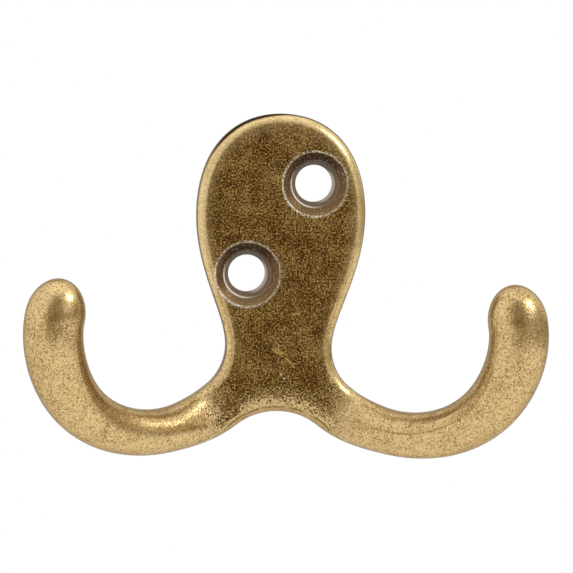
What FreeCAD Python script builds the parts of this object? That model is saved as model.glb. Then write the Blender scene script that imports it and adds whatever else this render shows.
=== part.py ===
import FreeCAD, Part

import math
import os

from FreeCAD import Vector

# A double robe hook, cast in one piece: an egg-shaped wall plate with two countersunk screw
# holes, and two arms that leave its foot, swing forward and curl up to rounded tips.
#
# Millimetres, with X to the right, Y into the wall and Z up. The origin lies on the wall
# face, midway between the two screws. The front of the hook looks along -Y.

# Wall plate, with heights measured from the origin
PLATE_THICKNESS = 4.5
HEAD_TOP = 15.95
HEAD_HALF_WIDTH = 11.73
HEAD_WIDEST_HEIGHT = 2.0
NECK_HALF_WIDTH = 7.38
NECK_HEIGHT = -16.4
NECK_FLARE_RADIUS = 7.2
ARCH_APEX_HEIGHT = -25.5
ARM_SLOPE = math.radians(38.7)

# Fullness of the egg's curves: the share of a curve's run over which it holds its end direction
CROWN_FULLNESS = 0.61
SHOULDER_FULLNESS = 0.607
FLANK_FULLNESS = 0.445
NECK_FULLNESS = 0.242

# Rounded edges of the plate
FRONT_EDGE_RADIUS = 1.7
BACK_EDGE_RADIUS = 0.5
ARCH_FRONT_RADIUS = 2.6
ARCH_BACK_RADIUS = 1.0

# Screw holes, on one diagonal through the origin
SCREW_OFFSET_X = 4.57
SCREW_OFFSET_Z = 6.32
SCREW_HOLE_DIAMETER = 5.2
SCREW_HOLE_LENGTH = 1.6
SCREW_LIP_DIAMETER = 6.3
COUNTERSINK_DIAMETER = 9.0
COUNTERSINK_DEPTH = 1.35
HOLE_RIM_RADIUS = 0.2

# Centre line of an arm: how far out from the middle and forward of the wall it gets, its fall
# from the plate to its lowest place, and its rise from there to where the rounded tip begins
ARM_SPREAD = 31.05
ARM_REACH = 20.3
ARM_FALL = 3.24
ARM_CLIMB = 16.6
TIP_DIRECTION = Vector(-0.2, -0.07, 0.98)

# Places along the centre line, as shares of its way out and forward from the plate, and of its
# fall
ARM_SHOULDER = (0.21, 0.12, 0.743)
ARM_KNEE = (0.416, 0.314, 1.0)

# The same, with shares of its climb
ARM_FLOOR = (0.664, 0.523, 0.064)
ARM_BEND = (0.85, 0.709, 0.251)
ARM_RISE = (0.97, 0.892, 0.553)
ARM_CREST = (1.006, 0.981, 0.813)
ARM_TIP = (0.998, 1.0, 1.0)

# Arm section: it turns from the plate's section to a circle over the rounding length, then
# swells up to the even shank below the tip
ARM_ROUNDING_LENGTH = 10.0
ARM_KNEE_RADIUS = 3.14
ARM_TIP_RADIUS = 4.02
TIP_SHANK_LENGTH = 3.5
TIP_LENGTH = 5.22

# Loft stations along the arm, and the angle of a section's side where it is a circle
END_STATION_STEP = 0.12
ROUNDING_STATIONS = 7
BAR_STATIONS = 16
SIDE_ANGLE = math.radians(24.0)
CORNER_ANGLE = math.pi / 2 - SIDE_ANGLE

# Modelling limits: the largest share of the thickness that each rounded edge of the arch may
# take, how far cuts overrun, how close joints meet and points match
ARCH_FRONT_LIMIT = 0.6
ARCH_BACK_LIMIT = 0.25
CUT_OVERRUN = 1.0
JOINT_TOLERANCE = 1e-3
MATCH = 1e-4

FORWARD = Vector(0, -1, 0)
ARM_DIRECTION = Vector(math.cos(ARM_SLOPE), 0, -math.sin(ARM_SLOPE))
ACROSS_ARM = Vector(math.sin(ARM_SLOPE), 0, math.cos(ARM_SLOPE))


def bezier(*points):
    """A Bezier curve's edge through its control points."""
    curve = Part.BezierCurve()
    curve.setPoles(list(points))
    return curve.toShape()


def mirrored(shape):
    """The shape's copy on the other side of the middle plane."""
    return shape.mirror(Vector(0, 0, 0), Vector(1, 0, 0))


def smooth_step(share):
    """Eases from 0 to 1 with no slope at either end, and stays there."""
    share = max(0, min(1, share))
    return share * share * (3 - 2 * share)


def arc_handle(angle):
    """Length of a cubic Bezier's handle for an arc of this angle and unit radius."""
    return 4 / 3 * math.tan(angle / 4)


# The arch's edges are rounded only as far as the plate's thickness allows
arch_front_radius = min(ARCH_FRONT_RADIUS, ARCH_FRONT_LIMIT * PLATE_THICKNESS)
arch_back_radius = min(ARCH_BACK_RADIUS, ARCH_BACK_LIMIT * PLATE_THICKNESS)

# The flare and the arch are arcs whose centres lie on the plane where the right arm begins
flare_centre = Vector(NECK_HALF_WIDTH + NECK_FLARE_RADIUS, 0, NECK_HEIGHT)
arch_centre = flare_centre - ACROSS_ARM * (flare_centre.x / math.sin(ARM_SLOPE))
arch_radius = ARCH_APEX_HEIGHT - arch_centre.z
root_top = flare_centre - ACROSS_ARM * NECK_FLARE_RADIUS
root_bottom = arch_centre + ACROSS_ARM * arch_radius
root_height = root_top.distanceToPoint(root_bottom)


def plate_outline():
    """Outline curves of the wall face: upper edges, the arch below and the two arm roots."""
    crown_top = Vector(0, 0, HEAD_TOP)
    widest = Vector(HEAD_HALF_WIDTH, 0, HEAD_WIDEST_HEIGHT)
    neck = Vector(NECK_HALF_WIDTH, 0, NECK_HEIGHT)
    crown_rise = Vector(0, 0, HEAD_TOP - HEAD_WIDEST_HEIGHT)
    flank_drop = Vector(0, 0, HEAD_WIDEST_HEIGHT - NECK_HEIGHT)
    crown_out = Vector(HEAD_HALF_WIDTH, 0, 0)
    crown = bezier(
        crown_top,
        crown_top + crown_out * CROWN_FULLNESS,
        widest + crown_rise * SHOULDER_FULLNESS,
        widest,
    )
    flank = bezier(
        widest,
        widest - flank_drop * FLANK_FULLNESS,
        neck + flank_drop * NECK_FULLNESS,
        neck,
    )
    half_turn = math.pi / 4 - ARM_SLOPE / 2
    flare_middle = flare_centre - Vector(math.cos(half_turn), 0, math.sin(half_turn)) * NECK_FLARE_RADIUS
    flare = Part.Arc(neck, flare_middle, root_top).toShape()
    root = Part.LineSegment(root_top, root_bottom).toShape()
    arch_apex = Vector(0, 0, ARCH_APEX_HEIGHT)
    left_root_bottom = Vector(-root_bottom.x, 0, root_bottom.z)
    arch = Part.Arc(root_bottom, arch_apex, left_root_bottom).toShape()
    upper = [crown, flank, flare]
    upper += [mirrored(edge) for edge in upper]
    return upper, [arch], [root, mirrored(root)]


def edges_on(solid, curves, depth):
    """Edges of the solid that lie on these outline curves, this far forward of the wall."""
    middles = [edge.valueAt((edge.FirstParameter + edge.LastParameter) / 2) for edge in curves]
    found = []
    for edge in solid.Edges:
        middle = edge.valueAt((edge.FirstParameter + edge.LastParameter) / 2)
        if any(middle.isEqual(point + FORWARD * depth, MATCH) for point in middles):
            found.append(edge)
    return found


def wall_plate():
    """The egg-shaped plate with its rounded edges, open for the arms at its foot."""
    upper, lower, roots = plate_outline()
    outline = Part.Wire(Part.__sortEdges__(upper + lower + roots))
    plate = Part.Face(outline).extrude(FORWARD * PLATE_THICKNESS)
    plate = plate.makeFillet(FRONT_EDGE_RADIUS, edges_on(plate, upper, PLATE_THICKNESS))
    plate = plate.makeFillet(arch_front_radius, edges_on(plate, lower, PLATE_THICKNESS))
    plate = plate.makeFillet(BACK_EDGE_RADIUS, edges_on(plate, upper, 0))
    return plate.makeFillet(arch_back_radius, edges_on(plate, lower, 0))


def root_section():
    """Poles of the plate's cut end, curve by curve, as (across, forward) from its middle.

    The curves go round in the order side, corner, side, corner, starting with the back side.
    A side's handles bear the same ratio to its corners' handles as on the round section, so
    that any mix of the two sections is smooth as well.
    """
    half_height = root_height / 2
    half_depth = PLATE_THICKNESS / 2
    corners = [
        Vector(-half_height, -half_depth),
        Vector(half_height, -half_depth),
        Vector(half_height, half_depth),
        Vector(-half_height, half_depth),
    ]
    radii = [arch_back_radius, BACK_EDGE_RADIUS, FRONT_EDGE_RADIUS, arch_front_radius]
    headings = [Vector(1, 0), Vector(0, 1), Vector(-1, 0), Vector(0, -1)]
    corner_share = arc_handle(math.pi / 2)
    side_share = corner_share * arc_handle(SIDE_ANGLE) / arc_handle(CORNER_ANGLE)
    curves = []
    for turn in range(4):
        following = (turn + 1) % 4
        heading = headings[turn]
        next_heading = headings[following]
        radius = radii[turn]
        next_radius = radii[following]
        corner = corners[following]
        side_start = corners[turn] + heading * radius
        side_end = corner - heading * next_radius
        corner_end = corner + next_heading * next_radius
        curves.append([
            side_start,
            side_start + heading * radius * side_share,
            side_end - heading * next_radius * side_share,
            side_end,
        ])
        curves.append([
            side_end,
            side_end + heading * next_radius * corner_share,
            corner_end - next_heading * next_radius * corner_share,
            corner_end,
        ])
    return curves


def round_section():
    """Poles of a circle of unit radius, split into the same curves as the root section."""
    curves = []
    angle = -math.pi / 2 - SIDE_ANGLE / 2
    for span in [SIDE_ANGLE, CORNER_ANGLE] * 4:
        start = Vector(math.cos(angle), math.sin(angle))
        end = Vector(math.cos(angle + span), math.sin(angle + span))
        handle = arc_handle(span)
        curves.append([
            start,
            start + Vector(-start.y, start.x) * handle,
            end - Vector(-end.y, end.x) * handle,
            end,
        ])
        angle += span
    return curves


def section_wire(middle, across, forward, roundness, radius):
    """The arm's section at one station: the root section mixed with a circle."""
    edges = []
    for flat_poles, round_poles in zip(root_section(), round_section()):
        poles = []
        for flat_pole, round_pole in zip(flat_poles, round_poles):
            pole = flat_pole * (1 - roundness) + round_pole * (radius * roundness)
            poles.append(middle + across * pole.x + forward * pole.y)
        edges.append(bezier(*poles))
    return Part.Wire(edges)


def arm_place(root, out_share, forward_share, height):
    """A place on the right arm's centre line, which begins at this root."""
    out = root.x + (ARM_SPREAD - root.x) * out_share
    depth = root.y - (ARM_REACH + root.y) * forward_share
    return Vector(out, depth, height)


def arm_path():
    """Centre line of the right arm, from the middle of the plate's cut end to the tip."""
    root = (root_top + root_bottom) / 2 + FORWARD * (PLATE_THICKNESS / 2)
    lowest = root.z - ARM_FALL
    points = [root]
    for out_share, forward_share, fall_share in [ARM_SHOULDER, ARM_KNEE]:
        points.append(arm_place(root, out_share, forward_share, root.z - ARM_FALL * fall_share))
    for out_share, forward_share, climb_share in [ARM_FLOOR, ARM_BEND, ARM_RISE, ARM_CREST, ARM_TIP]:
        points.append(arm_place(root, out_share, forward_share, lowest + ARM_CLIMB * climb_share))
    curve = Part.BSplineCurve()
    curve.interpolate(
        Points=points,
        InitialTangent=ARM_DIRECTION,
        FinalTangent=TIP_DIRECTION,
        Scale=False,
    )
    return curve.toShape()


def arm_tip(base, axis, across):
    """The rounded end of an arm: a half egg on this base point, turned about this axis."""
    round_share = arc_handle(math.pi / 2)
    radius = across * ARM_TIP_RADIUS
    reach = axis * TIP_LENGTH
    profile = bezier(
        base + radius,
        base + radius + reach * round_share,
        base + radius * round_share + reach,
        base + reach,
    )
    core = Part.LineSegment(base + reach, base).toShape()
    foot = Part.LineSegment(base, base + radius).toShape()
    return Part.Face(Part.Wire([profile, core, foot])).revolve(base, axis)


def arm():
    """The right arm: a loft that turns with its path, without twist, and its rounded tip."""
    path = arm_path()
    bar_length = path.Length - ARM_ROUNDING_LENGTH
    swell_length = bar_length - TIP_SHANK_LENGTH
    rounding_step = ARM_ROUNDING_LENGTH / ROUNDING_STATIONS
    bar_step = bar_length / BAR_STATIONS
    stations = [END_STATION_STEP * count for count in (0, 1, 2)]
    stations += [rounding_step * count for count in range(1, ROUNDING_STATIONS)]
    stations += [ARM_ROUNDING_LENGTH + bar_step * count for count in range(BAR_STATIONS)]
    stations += [path.Length - END_STATION_STEP * count for count in (2, 1, 0)]
    across = ACROSS_ARM
    wires = []
    for station in stations:
        parameter = path.getParameterByLength(station)
        middle = path.valueAt(parameter)
        heading = path.tangentAt(parameter)
        across = (across - heading * across.dot(heading)).normalize()
        forward = heading.cross(across)
        roundness = smooth_step(station / ARM_ROUNDING_LENGTH)
        swelling = smooth_step((station - ARM_ROUNDING_LENGTH) / swell_length)
        radius = ARM_KNEE_RADIUS + (ARM_TIP_RADIUS - ARM_KNEE_RADIUS) * swelling
        wires.append(section_wire(middle, across, forward, roundness, radius))
    return [Part.makeLoft(wires, True), arm_tip(middle, heading, across)]


def screw_hole():
    """What a screw hole takes out of the plate: countersink, taper and plain bore, about Y."""
    front = -PLATE_THICKNESS
    hole_radius = SCREW_HOLE_DIAMETER / 2
    lip_radius = SCREW_LIP_DIAMETER / 2
    rim_radius = COUNTERSINK_DIAMETER / 2
    flare = (rim_radius - lip_radius) / COUNTERSINK_DEPTH
    corners = [
        Vector(0, front - CUT_OVERRUN, 0),
        Vector(rim_radius + CUT_OVERRUN * flare, front - CUT_OVERRUN, 0),
        Vector(lip_radius, front + COUNTERSINK_DEPTH, 0),
        Vector(hole_radius, -SCREW_HOLE_LENGTH, 0),
        Vector(hole_radius, CUT_OVERRUN, 0),
        Vector(0, CUT_OVERRUN, 0),
    ]
    profile = Part.Face(Part.makePolygon(corners + corners[:1]))
    return profile.revolve(Vector(0, 0, 0), Vector(0, 1, 0))


def rims_of_holes(solid):
    """Front rims of the countersinks, and the lips at their feet."""
    depths = {
        PLATE_THICKNESS: COUNTERSINK_DIAMETER / 2,
        PLATE_THICKNESS - COUNTERSINK_DEPTH: SCREW_LIP_DIAMETER / 2,
    }
    rims = []
    for edge in solid.Edges:
        if not isinstance(edge.Curve, Part.Circle):
            continue
        for depth, radius in depths.items():
            at_depth = abs(edge.Curve.Center.y + depth) < MATCH
            if at_depth and abs(edge.Curve.Radius - radius) < MATCH:
                rims.append(edge)
    return rims


def drilled_plate():
    """The wall plate with its two screw holes, their rims slightly rounded."""
    hole = screw_hole()
    offset = Vector(SCREW_OFFSET_X, 0, SCREW_OFFSET_Z)
    plate = wall_plate().cut([hole.translated(offset), hole.translated(-offset)])
    return plate.makeFillet(HOLE_RIM_RADIUS, rims_of_holes(plate))


def hook_casting():
    """The whole casting: the plate with an arm and its tip on each side."""
    right = arm()
    left = [mirrored(piece) for piece in right]
    return drilled_plate().fuse(right + left, JOINT_TOLERANCE).Solids[0]


os.makedirs("parts", exist_ok=True)
hook_casting().exportStep("parts/hook_casting.step")
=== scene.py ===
import math
from types import SimpleNamespace

import bmesh
import bpy
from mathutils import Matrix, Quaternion, Vector

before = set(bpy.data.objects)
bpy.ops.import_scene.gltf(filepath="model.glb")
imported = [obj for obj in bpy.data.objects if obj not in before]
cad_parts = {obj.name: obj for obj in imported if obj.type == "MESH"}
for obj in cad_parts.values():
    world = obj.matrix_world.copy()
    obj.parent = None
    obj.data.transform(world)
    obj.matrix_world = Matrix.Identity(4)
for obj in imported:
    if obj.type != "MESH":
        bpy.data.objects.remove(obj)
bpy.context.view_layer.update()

# The scene is in metres, the material in millimetres
MM_PER_M = 1000.0

# Camera, a long lens a little to the left of the hook and above it
CAMERA_TARGET = Vector((0.00112, 0.0, -0.0082))
CAMERA_DISTANCE = 0.45
CAMERA_AZIMUTH = math.radians(-3.8)
CAMERA_ELEVATION = math.radians(3.68)
CAMERA_ROLL = math.radians(1.05)
CAMERA_LENS = 202.15
CAMERA_SENSOR = 36.0

# Studio: a bright tent, brighter overhead, with dark gaps mostly on the camera's side
WHITE = (1.0, 1.0, 1.0, 1.0)
TENT_LIGHT = (1.0, 0.99, 0.97, 1.0)
OVERHEAD_LIGHT = (1.22, 1.2, 1.15, 1.0)
OVERHEAD_ELEVATIONS = (45.0, 75.0)
GAP_LIGHT = (0.18, 0.125, 0.02, 1.0)

# Each gap's middle and half size, as (azimuth, elevation) in degrees, then its softness and depth
LENS_GAP = ((3.0, -3.0), (16.0, 11.0), 0.4, 1.0)
TABLE_GAP = ((0.0, -5.0), (40.0, 13.5), 0.14, 0.85)
COLUMN_GAP = ((1.0, 22.0), (33.0, 36.0), 0.35, 0.75)
SIDE_GAP = ((70.0, -2.0), (75.0, 10.5), 0.25, 0.66)
FAR_GAP = ((90.0, 10.0), (24.0, 20.0), 0.3, 0.5)
BACK_GAP = ((180.0, 0.0), (36.0, 60.0), 0.3, 0.35)

# One small soft box at the upper right
KEY_AZIMUTH = math.radians(64.0)
KEY_ELEVATION = math.radians(38.0)
KEY_DISTANCE = 0.7
KEY_SIZE = 0.2
KEY_POWER = 1.1

# Floor, pale and well below the hook
FLOOR_HEIGHT = -0.25
FLOOR_HALF_SIZE = 0.55
FLOOR_COLOUR = (0.93, 0.92, 0.90, 1.0)
FLOOR_ROUGHNESS = 0.7

# Lengths below are in millimetres, centres and middles are (across, up), other pairs are (from, to)

# The hook's own places, with its back at y = 0
ACROSS_PLATE = (1.0, 0.0, 1.0)
PLATE_FACE = -4.5
BACK_EDGE = (-0.4, -0.1)
HEAD_HALF_WIDTH = 11.73
HEAD_WIDEST_HEIGHT = 2.0
HEAD_RISE = 13.95
NECK_HALF_WIDTH = 7.38
NECK_TO_HEAD = (-18.3, 1.1)
EGG_POWER = 2.2
ARCH_CENTRE = (0.0, -34.6)
ARCH_RADIUS = 9.1
UNDER_ARCH = (-24.8, -24.0)
SCREW = (4.57, 0.0, 6.32)
COUNTERSINK_RADIUS = 4.5
LIP_RADIUS = 3.15
ROOT_MIDDLE = (7.9, -24.8)
ROOT_SLOPE = math.radians(8.0)
ROOT_TOP = (-18.0, -14.0)
PAST_ROOT_ON_HEAD = -10.0
PLATE_END = (-1.0, 1.5)

# Sand: each noise's grains to the millimetre, detail and roughness, and its swing in the tone
GRAIN_NOISE = (4.0, 3.0, 0.7)
CLUSTER_NOISE = (0.9, 2.0, 0.5)
MOTTLE_NOISE = (0.28, 3.0, 0.55)
SECOND_GRAIN_SHIFT = (31.0, 17.0, 53.0)
GRAIN_SWING = 3.5
CLUSTER_SWING = 0.7
MOTTLE_SWING = 0.9
MIDDLE_TONE = 0.52
DARK_TONES = (0.0, 0.5)
BRIGHT_TONES = (0.5, 1.0)

# Brown face, which ends on the rounded edge, speckles above the arch and breaks up at the arms' roots
FACE_EDGE = (PLATE_FACE + 0.005, PLATE_FACE + 0.13)
CORNER_WIDTHS = (2.5, 5.5)
CORNER_HEIGHTS = (-25.6, -24.4)
CORNER_SHIFT = -0.3
ARCH_SPECKLE_HEIGHTS = (2.6, 4.2)
ARCH_SPECKLE_WIDTHS = (4.0, 7.0)
ARCH_SPECKLE_SWING = 3.6
ARCH_SPECKLE_SHIFT = 0.05
ROOT_CLUSTER_SWING = 2.6
ROOT_GRAIN_SWING = 16.0
ROOT_LEAN = 0.085
FACE_FADE = (-1.6, 1.2)
ROOT_SAND_START = (-2.0, 0.2)
ROOT_SAND_END = (2.0, 4.5)

# Edges rubbed bright, most of all round the head
RUBBED_INSET = (1.3, 2.7)
RUBBED_HEIGHTS = (-19.0, -16.0)
RUBBED_SHARE = 0.3
HEAD_EDGE_HEIGHTS = (-16.0, 0.0)
HEAD_EDGE_SHARES = (0.05, 0.3)

# Scratches in the face, and nicks in it painted white as glints
SCRATCHES = (
    ((-0.96, PLATE_FACE, -16.69), (0.3, PLATE_FACE, -17.4)),
    ((-0.54, PLATE_FACE, -16.5), (0.58, PLATE_FACE, -17.3)),
    ((1.01, PLATE_FACE, -17.91), (2.14, PLATE_FACE, -19.15)),
    ((1.65, PLATE_FACE, -11.8), (2.75, PLATE_FACE, -11.64)),
)
SCRATCH_HALF_WIDTH = (0.03, 0.12)
SCRATCH_SHARE = 0.9
NICKS = ((0.3, PLATE_FACE, -20.15), (0.72, PLATE_FACE, -20.7))
NICK_RADIUS = (0.07, 0.15)

# Walls of the plate, darkest at the crown, and a shade on the arch
WALL_START = (PLATE_FACE + 0.85, PLATE_FACE + 1.2)
WALL_SHIFT_UNDER_ARCH = -1.6
CROWN_HEIGHTS = (7.0, 13.0)
CROWN_LEFT_HEIGHTS = (9.0, 13.0)
CROWN_LEFT_PLACES = (-3.0, 2.0)
WALL_SHIFT_CROWN_LEFT = 0.35
ARCH_SHADE_HEIGHTS = (0.5, 1.6)
ARCH_SHADE = 0.35

# Lines left by the casting: the parting line under the arch and a seam along the right arm
PARTING_DEPTH = -3.75
PARTING_HALF_WIDTH = (0.06, 0.22)
PARTING_ENDS = (6.5, 9.0)
PARTING_BREAKS = (0.38, 0.46)
SEAM_CENTRE = (16.2, -15.6)
SEAM_RADIUS = 11.95
SEAM_START = (12.7, 12.9)
SEAM_END = (23.8, 24.0)
SEAM_TOP = (SEAM_CENTRE[1] - 1.0, SEAM_CENTRE[1])
SEAM_HALF_WIDTH = (0.04, 0.2)
SEAM_BREAKS = (0.47, 0.57)
CASTING_LINE_SHARE = 0.85

# Sides of a countersink, where TURNS say how far a place lies towards a side, from -1 to 1
UPWARD = (0.0, 0.0, 1.0)
LOW_LEFT = (-0.78, 0.0, -0.62)
RIGHTWARD = (0.95, 0.0, -0.31)

# Countersinks: a brown cone with marks of its turning, painted shade at its top, painted light at its
# foot and painted glints, and the hole with painted light on one side
TURNED_MARKS_PER_MM = 5.0
TURNED_NOISE = (1.0, 3.0, 0.6)
TURNED_SWING = 1.6
RECESS_SHADE_TURNS = (0.05, 0.9)
RECESS_LIGHT_TURNS = (-0.9, -0.1)
RECESS_EDGE = (COUNTERSINK_RADIUS - 0.2, COUNTERSINK_RADIUS)
GLINT_GRAINS = (0.56, 0.7)
GLINT_SHARE = 0.6
BORE_EDGE = (LIP_RADIUS - 0.05, LIP_RADIUS + 0.05)
BORE_SHARE = 0.5
LIT_BORE_RADIUS = (2.75, 2.95)
LIT_BORE_TURNS = (0.3, 0.85)
LIT_BORE_SHARE = 0.5

# Rims of the countersinks, rubbed and broken, and lips of the holes, both with a painted highlight,
# strongest at the lower left
RIM_RING_RADIUS = COUNTERSINK_RADIUS + 0.05
RIM_HALF_WIDTH = (0.08, 0.24)
RIM_BREAKS = (0.42, 0.56)
RIM_HIGHLIGHT_TURNS = (0.0, 0.95)
RIM_HIGHLIGHT_SHARES = (0.5, 1.0)
LIP_RING_RADIUS = LIP_RADIUS + 0.12
LIP_HALF_WIDTH = (0.05, 0.16)
LIP_HIGHLIGHT_TURNS = (0.2, 0.95)
LIP_HIGHLIGHT_SHARES = (0.15, 1.0)

# Gloss: how matt each part of the finish is, its roughness, the lacquer over it and the sand's relief
WHOLE_MASK = (0.0, 1.0)
MATT_RECESS = 0.45
MATT_SCRATCH = 0.85
MATT_FACE = 0.55
MATT_ROOT = 0.6
MATT_EDGE = 0.5
MATT_EDGE_DEPTHS = (PLATE_FACE + 0.05, PLATE_FACE + 0.5)
FACE_DULLNESS = 0.5
ROUGHNESS = (0.19, 0.36)
LACQUER_ON_BRASS = 0.35
LACQUER_ON_FACE = 0.15
LACQUER_ROUGHNESS = 0.12
BUMP_STRENGTH = 0.42
BUMP_HEIGHT_M = 0.000016

# Colours
BRASS = (0.66, 0.465, 0.206, 1.0)
BRASS_PALE = (0.78, 0.595, 0.303, 1.0)
SPECK = (0.32, 0.2, 0.07, 1.0)
SPECK_DARK = (0.16, 0.10, 0.02, 1.0)
FACE_BROWN = (0.17, 0.084, 0.012, 1.0)
FACE_GOLD = (0.58, 0.395, 0.155, 1.0)
FACE_DARK = (0.028, 0.006, 0.0, 1.0)
SCRATCH = (0.72, 0.50, 0.16, 1.0)
# Nicks painted white, as glints
NICK_GLINT = (1.0, 1.0, 0.95, 1.0)
EDGE_BRASS = (0.94, 0.76, 0.40, 1.0)
WALL_PATINA = (0.34, 0.27, 0.19, 1.0)
CROWN_DARK = (0.05, 0.025, 0.012, 1.0)
# Countersinks: painted shade at the top of the cone, its brown, and painted light at its foot
RECESS_TOP_SHADE = (0.06, 0.032, 0.016, 1.0)
RECESS = (0.205, 0.115, 0.048, 1.0)
RECESS_FOOT_LIGHT = (0.25, 0.155, 0.062, 1.0)
BORE = (0.17, 0.13, 0.115, 1.0)
# Near-white, for the painted glints, the painted light in the hole and the painted highlights on rims
# and lips
GLINT_WHITE = (0.93, 0.87, 0.75, 1.0)
EDGE_TINT = (0.5, 0.45, 0.39, 1.0)


def feed(tree, socket, value):
    """Links a socket to the input, or sets the input's own value."""
    if isinstance(value, bpy.types.NodeSocket):
        tree.links.new(value, socket)
    else:
        socket.default_value = value


def maths(tree, operation, *values, clamp=False):
    """A Math node's result."""
    node = tree.nodes.new("ShaderNodeMath")
    node.operation = operation
    node.use_clamp = clamp
    for socket, value in zip(node.inputs, values):
        feed(tree, socket, value)
    return node.outputs[0]


def vector_maths(tree, operation, *values):
    """A Vector Math node's vector and value."""
    node = tree.nodes.new("ShaderNodeVectorMath")
    node.operation = operation
    for socket, value in zip(node.inputs, values):
        feed(tree, socket, value)
    return node.outputs[0], node.outputs[1]


def scaled(tree, vector, size):
    """A vector made longer or shorter."""
    node = tree.nodes.new("ShaderNodeVectorMath")
    node.operation = "SCALE"
    feed(tree, node.inputs[0], vector)
    feed(tree, node.inputs["Scale"], size)
    return node.outputs[0]


def combined(tree, *values):
    """A vector from up to three values."""
    node = tree.nodes.new("ShaderNodeCombineXYZ")
    for socket, value in zip(node.inputs, values):
        feed(tree, socket, value)
    return node.outputs[0]


def separated(tree, vector):
    """A vector's three values."""
    node = tree.nodes.new("ShaderNodeSeparateXYZ")
    feed(tree, node.inputs[0], vector)
    return node.outputs


def ramp(tree, value, limits, low=0.0, high=1.0):
    """Eases from low to high while the value goes from one limit to the other."""
    node = tree.nodes.new("ShaderNodeMapRange")
    node.interpolation_type = "SMOOTHSTEP"
    for socket, setting in zip(node.inputs, (value, *limits, low, high)):
        feed(tree, socket, setting)
    return node.outputs[0]


def fade_out(tree, value, limits, top=1.0):
    """Eases down to nothing while the value goes from one limit to the other."""
    return ramp(tree, value, limits, top, 0.0)


def blend(tree, share, first, second):
    """Mixes two colours."""
    node = tree.nodes.new("ShaderNodeMix")
    node.data_type = "RGBA"
    feed(tree, node.inputs["Factor"], share)
    feed(tree, node.inputs["A"], first)
    feed(tree, node.inputs["B"], second)
    return node.outputs["Result"]


def noise(tree, place, settings):
    """Noise on a place, with its grains to the unit, detail and roughness."""
    node = tree.nodes.new("ShaderNodeTexNoise")
    feed(tree, node.inputs["Vector"], place)
    for name, setting in zip(("Scale", "Detail", "Roughness"), settings):
        feed(tree, node.inputs[name], setting)
    return node.outputs["Fac"]


def swing(tree, value, size):
    """A noise's swing about its middle, stretched to this size."""
    return maths(tree, "MULTIPLY_ADD", value, size, -size / 2)


def chain(tree, operation, values):
    """The same operation on several values, one after the other."""
    result = values[0]
    for value in values[1:]:
        result = maths(tree, operation, result, value)
    return result


def product(tree, *masks):
    """The product of several masks."""
    return chain(tree, "MULTIPLY", masks)


def largest(tree, *masks):
    """The largest of several masks."""
    return chain(tree, "MAXIMUM", masks)


def opposite(tree, mask):
    """What a mask leaves out."""
    return maths(tree, "SUBTRACT", 1.0, mask)


def direction(azimuth, elevation):
    """Unit vector towards this azimuth, measured from the front to the right, and elevation."""
    level = math.cos(elevation)
    return Vector((math.sin(azimuth) * level, -math.cos(azimuth) * level, math.sin(elevation)))


def add_camera():
    """The camera at the photograph's viewing angle."""
    data = bpy.data.cameras.new("camera")
    data.lens = CAMERA_LENS
    data.sensor_width = CAMERA_SENSOR
    camera = bpy.data.objects.new("camera", data)
    back = direction(CAMERA_AZIMUTH, CAMERA_ELEVATION)
    camera.location = CAMERA_TARGET + back * CAMERA_DISTANCE
    turn = (-back).to_track_quat("-Z", "Y") @ Quaternion((0, 0, 1), CAMERA_ROLL)
    camera.rotation_euler = turn.to_euler()
    bpy.context.scene.collection.objects.link(camera)
    bpy.context.scene.camera = camera


def gap_in_tent(tree, azimuth, elevation, gap):
    """How dark an oval gap in the tent is, fading out at its rim."""
    middle, half_size, softness, depth = gap
    across = maths(tree, "DIVIDE", maths(tree, "SUBTRACT", azimuth, middle[0]), half_size[0])
    upward = maths(tree, "DIVIDE", maths(tree, "SUBTRACT", elevation, middle[1]), half_size[1])
    squares = maths(tree, "ADD", maths(tree, "POWER", across, 2.0), maths(tree, "POWER", upward, 2.0))
    return fade_out(tree, maths(tree, "SQRT", squares), (1.0 - softness, 1.0 + softness), depth)


def add_world():
    """A white background that the metal mirrors too, apart from the tent's dark gaps."""
    world = bpy.data.worlds.new("studio")
    world.use_nodes = True
    bpy.context.scene.world = world
    tree = world.node_tree
    tree.nodes.clear()
    x, y, z = separated(tree, tree.nodes.new("ShaderNodeTexCoord").outputs["Generated"])
    azimuth = maths(tree, "DEGREES", maths(tree, "ARCTAN2", x, maths(tree, "MULTIPLY", y, -1.0)))
    elevation = maths(tree, "DEGREES", maths(tree, "ARCSINE", z))
    turned_away = maths(tree, "ABSOLUTE", azimuth)
    front_gaps = (LENS_GAP, TABLE_GAP, COLUMN_GAP, SIDE_GAP, FAR_GAP)
    gaps = [gap_in_tent(tree, azimuth, elevation, gap) for gap in front_gaps]
    gaps.append(gap_in_tent(tree, turned_away, elevation, BACK_GAP))
    tent = blend(tree, ramp(tree, elevation, OVERHEAD_ELEVATIONS), TENT_LIGHT, OVERHEAD_LIGHT)
    surroundings = blend(tree, largest(tree, *gaps), tent, GAP_LIGHT)
    rays = tree.nodes.new("ShaderNodeLightPath")
    background = tree.nodes.new("ShaderNodeBackground")
    shown = blend(tree, rays.outputs["Is Camera Ray"], surroundings, WHITE)
    feed(tree, background.inputs["Color"], shown)
    output = tree.nodes.new("ShaderNodeOutputWorld")
    feed(tree, output.inputs["Surface"], background.outputs["Background"])


def add_key_light():
    """The small soft box."""
    data = bpy.data.lights.new("soft_box", "AREA")
    data.size = KEY_SIZE
    data.energy = KEY_POWER
    lamp = bpy.data.objects.new("soft_box", data)
    towards = direction(KEY_AZIMUTH, KEY_ELEVATION)
    lamp.location = CAMERA_TARGET + towards * KEY_DISTANCE
    lamp.rotation_euler = towards.to_track_quat("Z", "Y").to_euler()
    bpy.context.scene.collection.objects.link(lamp)


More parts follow.
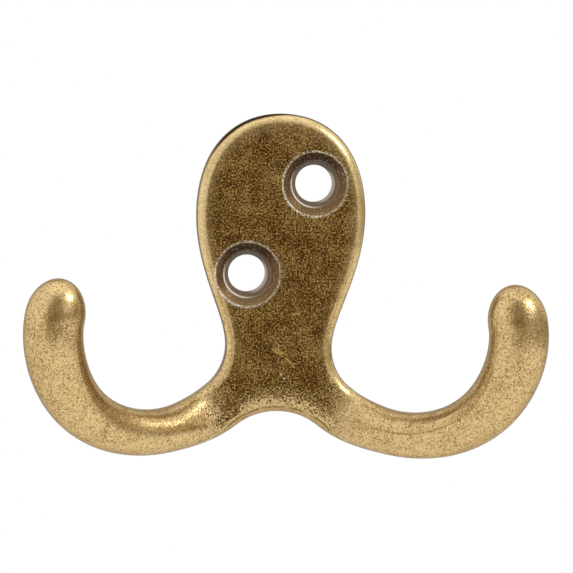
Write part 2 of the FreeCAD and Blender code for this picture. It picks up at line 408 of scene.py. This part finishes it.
def add_floor():
    """The pale floor."""
    mesh = bpy.data.meshes.new("floor")
    shape = bmesh.new()
    bmesh.ops.create_grid(shape, x_segments=1, y_segments=1, size=FLOOR_HALF_SIZE)
    bmesh.ops.translate(shape, verts=shape.verts, vec=(0, 0, FLOOR_HEIGHT))
    shape.to_mesh(mesh)
    shape.free()
    floor = bpy.data.objects.new("floor", mesh)
    material = bpy.data.materials.new("pale_floor")
    material.use_nodes = True
    surface = material.node_tree.nodes["Principled BSDF"]
    surface.inputs["Base Color"].default_value = FLOOR_COLOUR
    surface.inputs["Roughness"].default_value = FLOOR_ROUGHNESS
    mesh.materials.append(material)
    bpy.context.scene.collection.objects.link(floor)


def screw_offset(tree, place):
    """Place across the plate as seen from the nearer screw's axis."""
    side = maths(tree, "SIGN", vector_maths(tree, "DOT_PRODUCT", place, SCREW)[1])
    offset = vector_maths(tree, "SUBTRACT", place, scaled(tree, SCREW, side))[0]
    return vector_maths(tree, "MULTIPLY", offset, ACROSS_PLATE)[0]


def ring(tree, distance, radius, half_width):
    """A ring round a screw's axis."""
    away = maths(tree, "ABSOLUTE", maths(tree, "SUBTRACT", distance, radius))
    return fade_out(tree, away, half_width)


def distance_past_root(tree, wide, z):
    """How far along an arm a place lies from the plate's end, and less than nothing on the plate."""
    out = maths(tree, "SUBTRACT", wide, ROOT_MIDDLE[0])
    down = maths(tree, "SUBTRACT", ROOT_MIDDLE[1], z)
    out_share = maths(tree, "MULTIPLY", out, math.cos(ROOT_SLOPE))
    down_share = maths(tree, "MULTIPLY", down, math.sin(ROOT_SLOPE))
    slanted = maths(tree, "ADD", out_share, down_share)
    return maths(tree, "ADD", slanted, ramp(tree, z, ROOT_TOP, 0.0, PAST_ROOT_ON_HEAD))


def inset_from_outline(tree, wide, z):
    """How far inside the egg's outline a place on the face lies."""
    half_width = ramp(tree, z, NECK_TO_HEAD, NECK_HALF_WIDTH, HEAD_HALF_WIDTH)
    rise = maths(tree, "MAXIMUM", maths(tree, "SUBTRACT", z, HEAD_WIDEST_HEIGHT), 0.0)
    across = maths(tree, "POWER", maths(tree, "DIVIDE", wide, half_width), EGG_POWER)
    upward = maths(tree, "POWER", maths(tree, "DIVIDE", rise, HEAD_RISE), EGG_POWER)
    outward = maths(tree, "POWER", maths(tree, "ADD", across, upward), 1.0 / EGG_POWER)
    return maths(tree, "MULTIPLY", opposite(tree, outward), half_width)


def circle_distance(tree, across, z, centre, radius):
    """How far outside a circle across the plate a place lies."""
    out = maths(tree, "SUBTRACT", across, centre[0])
    up = maths(tree, "SUBTRACT", z, centre[1])
    return maths(tree, "SUBTRACT", vector_maths(tree, "LENGTH", combined(tree, out, up))[1], radius)


def line_distance(tree, place, start, end):
    """Distance from a straight line."""
    along = Vector(end) - Vector(start)
    offset = vector_maths(tree, "SUBTRACT", place, start)[0]
    shadow = vector_maths(tree, "DOT_PRODUCT", offset, along)[1]
    share = maths(tree, "DIVIDE", shadow, along.length_squared, clamp=True)
    rest = vector_maths(tree, "SUBTRACT", offset, scaled(tree, along, share))[0]
    return vector_maths(tree, "LENGTH", rest)[1]


def read_places(tree):
    """The place on the hook, with its distances from the main features and the plate's own masks."""
    coordinates = tree.nodes.new("ShaderNodeTexCoord").outputs["Object"]
    place = scaled(tree, coordinates, MM_PER_M)
    x, y, z = separated(tree, place)
    wide = maths(tree, "ABSOLUTE", x)
    past_root = distance_past_root(tree, wide, z)
    return SimpleNamespace(
        place=place,
        x=x,
        y=y,
        z=z,
        wide=wide,
        past_root=past_root,
        above_arch=circle_distance(tree, wide, z, ARCH_CENTRE, ARCH_RADIUS),
        under_arch=fade_out(tree, z, UNDER_ARCH),
        plate=fade_out(tree, past_root, PLATE_END),
        off_back=fade_out(tree, y, BACK_EDGE),
    )


def sandy_grain(tree, place):
    """Sand of three sizes: its noises, its height, and how far it is out of the pits and bright."""
    grain = noise(tree, place, GRAIN_NOISE)
    shifted = vector_maths(tree, "ADD", place, SECOND_GRAIN_SHIFT)[0]
    second_grain = noise(tree, shifted, GRAIN_NOISE)
    cluster = noise(tree, place, CLUSTER_NOISE)
    mottle = noise(tree, place, MOTTLE_NOISE)
    fine = maths(tree, "ADD", swing(tree, grain, GRAIN_SWING), swing(tree, second_grain, GRAIN_SWING))
    coarse = maths(tree, "ADD", swing(tree, cluster, CLUSTER_SWING), swing(tree, mottle, MOTTLE_SWING))
    height = maths(tree, "ADD", fine, MIDDLE_TONE)
    tone = maths(tree, "ADD", height, coarse)
    return SimpleNamespace(
        grain=grain,
        cluster=cluster,
        height=height,
        raised=ramp(tree, tone, DARK_TONES),
        bright=ramp(tree, tone, BRIGHT_TONES),
    )


def sandy_colour(tree, sand, pit, middle, top):
    """Sand from its pits through its middle tone to its bright grains."""
    return blend(tree, sand.bright, blend(tree, sand.raised, pit, middle), top)


def face_patina(tree, at, sand):
    """The brown face, and the bare sandy patch where it breaks up at each arm's root."""
    corner = product(tree, ramp(tree, at.wide, CORNER_WIDTHS), fade_out(tree, at.z, CORNER_HEIGHTS))
    near_arch = product(
        tree,
        fade_out(tree, at.above_arch, ARCH_SPECKLE_HEIGHTS),
        fade_out(tree, at.wide, ARCH_SPECKLE_WIDTHS),
    )
    speckle = maths(tree, "ADD", swing(tree, sand.grain, ARCH_SPECKLE_SWING), ARCH_SPECKLE_SHIFT)
    depth = maths(tree, "MULTIPLY_ADD", corner, CORNER_SHIFT, at.y)
    depth = maths(tree, "MULTIPLY_ADD", speckle, near_arch, depth)
    on_face = fade_out(tree, depth, FACE_EDGE)

    wandering = swing(tree, sand.cluster, ROOT_CLUSTER_SWING)
    breaking = swing(tree, sand.grain, ROOT_GRAIN_SWING)
    leaning = maths(tree, "MULTIPLY_ADD", at.x, ROOT_LEAN, at.past_root)
    past_fade = maths(tree, "ADD", leaning, maths(tree, "ADD", wandering, breaking))
    inset = inset_from_outline(tree, at.wide, at.z)
    rubbed = product(
        tree,
        fade_out(tree, inset, RUBBED_INSET, RUBBED_SHARE),
        ramp(tree, at.z, RUBBED_HEIGHTS),
    )
    face = product(tree, on_face, fade_out(tree, past_fade, FACE_FADE), opposite(tree, rubbed))
    root_sand = product(
        tree,
        on_face,
        ramp(tree, past_fade, ROOT_SAND_START),
        fade_out(tree, at.past_root, ROOT_SAND_END),
    )
    return face, root_sand


def wear_marks_and_glints(tree, place):
    """Scratches that lay the brass bare, and nicks painted white as glints."""
    lines = [line_distance(tree, place, start, end) for start, end in SCRATCHES]
    spots = [vector_maths(tree, "DISTANCE", place, spot)[1] for spot in NICKS]
    scratch = fade_out(tree, chain(tree, "MINIMUM", lines), SCRATCH_HALF_WIDTH)
    # The nicks are painted white, as glints
    nick = fade_out(tree, chain(tree, "MINIMUM", spots), NICK_RADIUS)
    return scratch, nick


def wall_patina(tree, at):
    """The patina on the plate's walls, set back under the arch and forward at the crown's left."""
    crown_left = product(
        tree,
        ramp(tree, at.z, CROWN_LEFT_HEIGHTS),
        fade_out(tree, at.x, CROWN_LEFT_PLACES),
    )
    depth = maths(tree, "MULTIPLY_ADD", at.under_arch, WALL_SHIFT_UNDER_ARCH, at.y)
    depth = maths(tree, "MULTIPLY_ADD", crown_left, WALL_SHIFT_CROWN_LEFT, depth)
    return product(tree, ramp(tree, depth, WALL_START), at.off_back, at.plate)


def casting_lines(tree, at, sand):
    """The broken parting line under the arch and the broken seam along the right arm."""
    off_parting = maths(tree, "ABSOLUTE", maths(tree, "SUBTRACT", at.y, PARTING_DEPTH))
    parting = product(
        tree,
        fade_out(tree, off_parting, PARTING_HALF_WIDTH),
        at.under_arch,
        fade_out(tree, at.wide, PARTING_ENDS),
        ramp(tree, sand.cluster, PARTING_BREAKS),
    )
    off_seam = maths(tree, "ABSOLUTE", circle_distance(tree, at.x, at.z, SEAM_CENTRE, SEAM_RADIUS))
    seam = product(
        tree,
        fade_out(tree, off_seam, SEAM_HALF_WIDTH),
        ramp(tree, at.x, SEAM_START),
        fade_out(tree, at.x, SEAM_END),
        fade_out(tree, at.z, SEAM_TOP),
        ramp(tree, sand.grain, SEAM_BREAKS),
    )
    return largest(tree, parting, seam)


def countersinks(tree, at, sand):
    """The countersinks and holes: their colour with painted shade at the top of each cone, painted
    light at its foot, painted glints and painted light on one side of the hole, and their rims and
    lips, rubbed and with painted highlights.
    """
    offset = screw_offset(tree, at.place)
    distance = vector_maths(tree, "LENGTH", offset)[1]
    upward, low_left, rightward = [
        maths(tree, "DIVIDE", vector_maths(tree, "DOT_PRODUCT", offset, side)[1], distance)
        for side in (UPWARD, LOW_LEFT, RIGHTWARD)
    ]
    turned = combined(tree, maths(tree, "MULTIPLY", distance, TURNED_MARKS_PER_MM), upward, low_left)
    marks = swing(tree, noise(tree, turned, TURNED_NOISE), TURNED_SWING)
    height = maths(tree, "ADD", upward, marks)
    # Painted shade on the top of each cone and painted light on its foot
    cone = blend(tree, ramp(tree, height, RECESS_SHADE_TURNS), RECESS, RECESS_TOP_SHADE)
    cone = blend(tree, fade_out(tree, height, RECESS_LIGHT_TURNS), cone, RECESS_FOOT_LIGHT)
    # Painted glints: bright grains on the cone
    painted_glint = ramp(tree, sand.grain, GLINT_GRAINS, 0.0, GLINT_SHARE)
    bore = fade_out(tree, distance, BORE_EDGE)
    colour = blend(tree, bore, blend(tree, painted_glint, cone, GLINT_WHITE), blend(tree, BORE_SHARE, cone, BORE))
    # Painted light on the right side of the hole's wall
    bore_painted_light = product(
        tree,
        fade_out(tree, distance, LIT_BORE_RADIUS),
        ramp(tree, rightward, LIT_BORE_TURNS, 0.0, LIT_BORE_SHARE),
    )
    colour = blend(tree, bore_painted_light, colour, GLINT_WHITE)
    recess = product(tree, fade_out(tree, distance, RECESS_EDGE), at.off_back)

    # Painted highlights on the rubbed rims and on the lips, strongest at the lower left
    rim_wear_and_highlight = product(
        tree,
        ring(tree, distance, RIM_RING_RADIUS, RIM_HALF_WIDTH),
        ramp(tree, sand.grain, RIM_BREAKS),
        ramp(tree, low_left, RIM_HIGHLIGHT_TURNS, *RIM_HIGHLIGHT_SHARES),
    )
    lip_highlight = product(
        tree,
        ring(tree, distance, LIP_RING_RADIUS, LIP_HALF_WIDTH),
        ramp(tree, low_left, LIP_HIGHLIGHT_TURNS, *LIP_HIGHLIGHT_SHARES),
    )
    rubbed = product(tree, largest(tree, rim_wear_and_highlight, lip_highlight), at.off_back)
    return recess, colour, rubbed


def set_gloss(tree, surface, at, sand, masks):
    """Matt and rough parts, the lacquer over the brass, and the sand's relief."""
    edge = product(tree, fade_out(tree, at.y, MATT_EDGE_DEPTHS), at.plate, opposite(tree, masks.face))
    matt = largest(
        tree,
        masks.rubbed,
        masks.nick,
        product(tree, masks.recess, MATT_RECESS),
        product(tree, masks.scratch, MATT_SCRATCH),
        product(tree, masks.face, MATT_FACE),
        product(tree, masks.root_sand, MATT_ROOT),
        product(tree, edge, MATT_EDGE),
    )
    pits = opposite(tree, sand.raised)
    dull = largest(tree, pits, masks.recess, product(tree, masks.face, FACE_DULLNESS))
    lacquered = opposite(tree, largest(tree, masks.wall, masks.recess))
    lacquer = ramp(tree, masks.face, WHOLE_MASK, LACQUER_ON_BRASS, LACQUER_ON_FACE)
    feed(tree, surface.inputs["Metallic"], opposite(tree, matt))
    feed(tree, surface.inputs["Roughness"], ramp(tree, dull, WHOLE_MASK, *ROUGHNESS))
    feed(tree, surface.inputs["Coat Weight"], product(tree, lacquered, lacquer))
    surface.inputs["Coat Roughness"].default_value = LACQUER_ROUGHNESS
    surface.inputs["Specular Tint"].default_value = EDGE_TINT

    bump = tree.nodes.new("ShaderNodeBump")
    bump.inputs["Strength"].default_value = BUMP_STRENGTH
    bump.inputs["Distance"].default_value = BUMP_HEIGHT_M
    feed(tree, bump.inputs["Height"], product(tree, sand.height, opposite(tree, masks.recess)))
    feed(tree, surface.inputs["Normal"], bump.outputs["Normal"])


def antique_brass():
    """Sandy brass with a dark patina on the plate's face and bare brass on its edges and arms."""
    material = bpy.data.materials.new("antique_brass")
    material.use_nodes = True
    tree = material.node_tree
    surface = tree.nodes["Principled BSDF"]
    at = read_places(tree)
    sand = sandy_grain(tree, at.place)
    face, root_sand = face_patina(tree, at, sand)
    scratch, nick = wear_marks_and_glints(tree, at.place)
    wall = wall_patina(tree, at)
    recess, recess_colour, rubbed = countersinks(tree, at, sand)

    bare = sandy_colour(tree, sand, SPECK, BRASS, BRASS_PALE)
    head_edge = product(tree, at.plate, ramp(tree, at.z, HEAD_EDGE_HEIGHTS, *HEAD_EDGE_SHARES))
    arch_shade = product(
        tree, at.under_arch, at.plate, fade_out(tree, at.above_arch, ARCH_SHADE_HEIGHTS, ARCH_SHADE)
    )
    layers = (
        (head_edge, EDGE_BRASS),
        (face, sandy_colour(tree, sand, FACE_DARK, FACE_BROWN, FACE_GOLD)),
        (product(tree, scratch, SCRATCH_SHARE), SCRATCH),
        (nick, NICK_GLINT),
        (wall, blend(tree, ramp(tree, at.z, CROWN_HEIGHTS), WALL_PATINA, CROWN_DARK)),
        (arch_shade, SPECK),
        (product(tree, casting_lines(tree, at, sand), CASTING_LINE_SHARE), SPECK_DARK),
        (recess, recess_colour),
        (rubbed, GLINT_WHITE),
    )
    worn = bare
    for share, colour in layers:
        worn = blend(tree, share, worn, colour)
    feed(tree, surface.inputs["Base Color"], worn)

    masks = SimpleNamespace(
        face=face,
        root_sand=root_sand,
        scratch=scratch,
        nick=nick,
        wall=wall,
        recess=recess,
        rubbed=rubbed,
    )
    set_gloss(tree, surface, at, sand, masks)
    return material


bpy.context.scene.view_settings.view_transform = "Standard"
add_camera()
add_world()
add_key_light()
add_floor()
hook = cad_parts["hook_casting"]
hook.material_slots[0].material = antique_brass()
